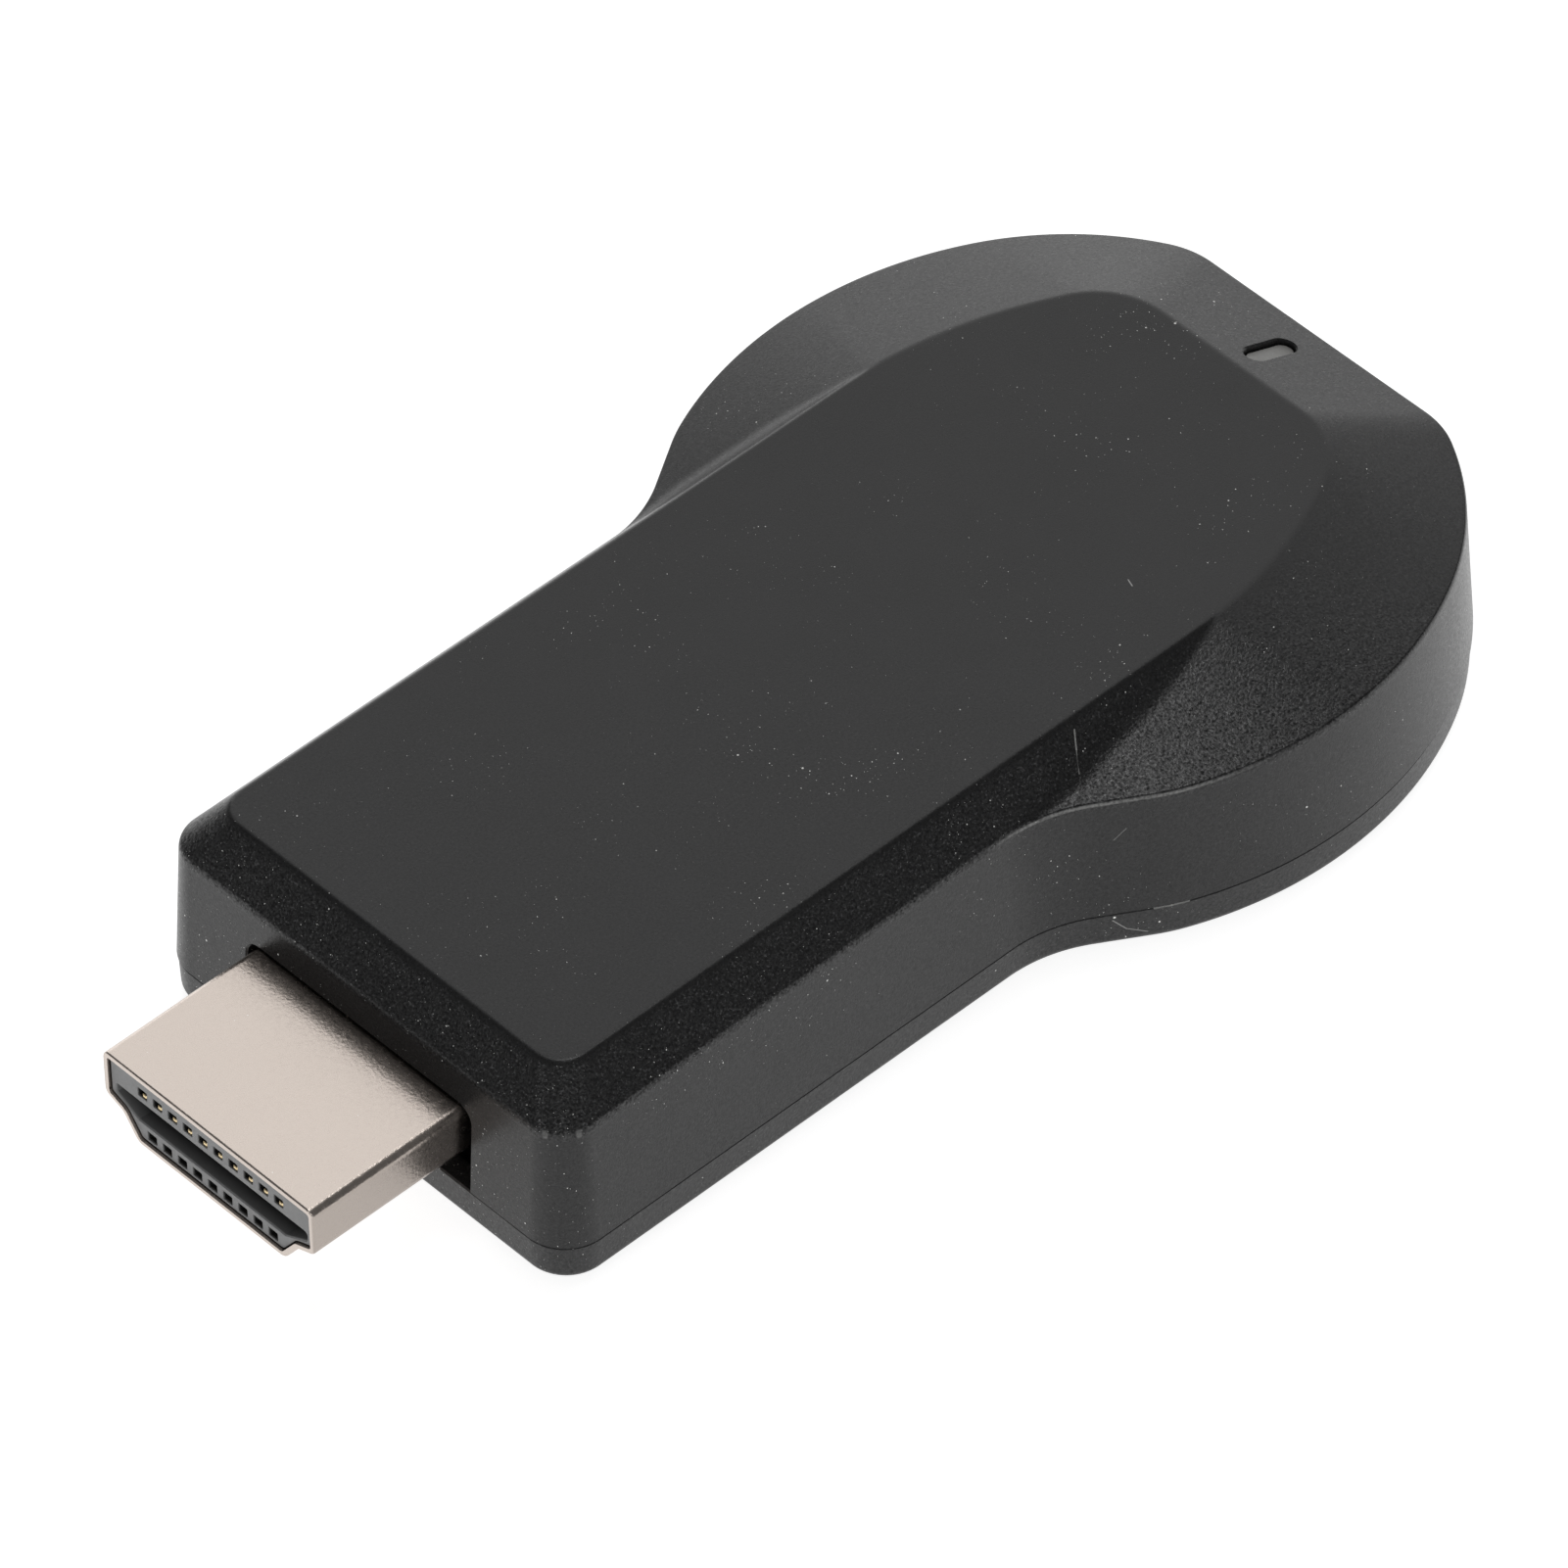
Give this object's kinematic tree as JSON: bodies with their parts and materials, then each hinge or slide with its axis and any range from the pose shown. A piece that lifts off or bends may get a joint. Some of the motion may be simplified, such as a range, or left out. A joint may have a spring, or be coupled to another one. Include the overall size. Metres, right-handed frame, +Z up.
{
  "type": "wireless display dongle",
  "caption": "Keyhole-shaped wireless display dongle with a video plug on its narrow end, a power socket in its flat end, a light window and a side button.",
  "frame": {"origin": "middle of the bounding box's underside, which lies on the base", "axes": "+X from the plug's mouth to the flat end with the power socket, +Y towards the side with the button, +Z up to the plateau"},
  "size_m": [0.0694, 0.037, 0.0113],
  "materials": {
    "housing_plastic": "charcoal, fine spark-eroded grain",
    "cover_plastic": "charcoal, fine spark-eroded grain",
    "button_plastic": "charcoal, smooth satin",
    "light_plastic": "clear grey, frosted face",
    "nickel_plate": "satin nickel plate with a fine orange peel",
    "insulator_plastic": "mid grey moulded block",
    "gold_plate": "gold flash on bronze",
    "board_laminate": "green solder mask",
    "chip_plastic": "black moulding compound",
    "pad_rubber": "soft grey-blue pad",
    "sink_aluminium": "extruded, natural",
    "tin_plate": "tin-plated steel",
    "white_ceramic": "white ceramic",
    "tan_ceramic": "tan ceramic with tinned ends",
    "ferrite": "dark grey ferrite",
    "socket_plastic": "black",
    "plunger_plastic": "ivory"
  },
  "bodies": {
    "housing": {"upper_housing": "housing_plastic", "lower_housing": "cover_plastic", "light_pipe": "light_plastic", "main_board": "board_laminate", "plug_shell": "nickel_plate", "plug_insulator": "insulator_plastic", "plug_contacts_upper": "gold_plate", "plug_contacts_lower": "gold_plate", "processor": "chip_plastic", "thermal_pad": "pad_rubber", "heat_sink": "sink_aluminium", "memory_chip": "chip_plastic", "flash_chip": "chip_plastic", "wireless_board": "board_laminate", "wireless_shield": "tin_plate", "chip_antenna": "white_ceramic", "crystal": "tin_plate", "power_inductor": "ferrite", "voltage_regulator": "chip_plastic", "chip_capacitors": "tan_ceramic", "chip_resistors": "chip_plastic", "status_led": "white_ceramic", "socket_shell": "tin_plate", "socket_insulator": "socket_plastic", "socket_contacts": "gold_plate", "switch_base": "socket_plastic", "switch_cover": "tin_plate", "switch_dome": "tin_plate"},
    "button": {"mode_button": "button_plastic", "switch_plunger": "plunger_plastic"}
  },
  "joints": [
    {"name": "button_press", "type": "slide", "parent": "housing", "child": "button", "axis": [0, -1, 0], "range_m": [0, 0.00025], "stiffness_N_per_m": 6400}
  ]
}
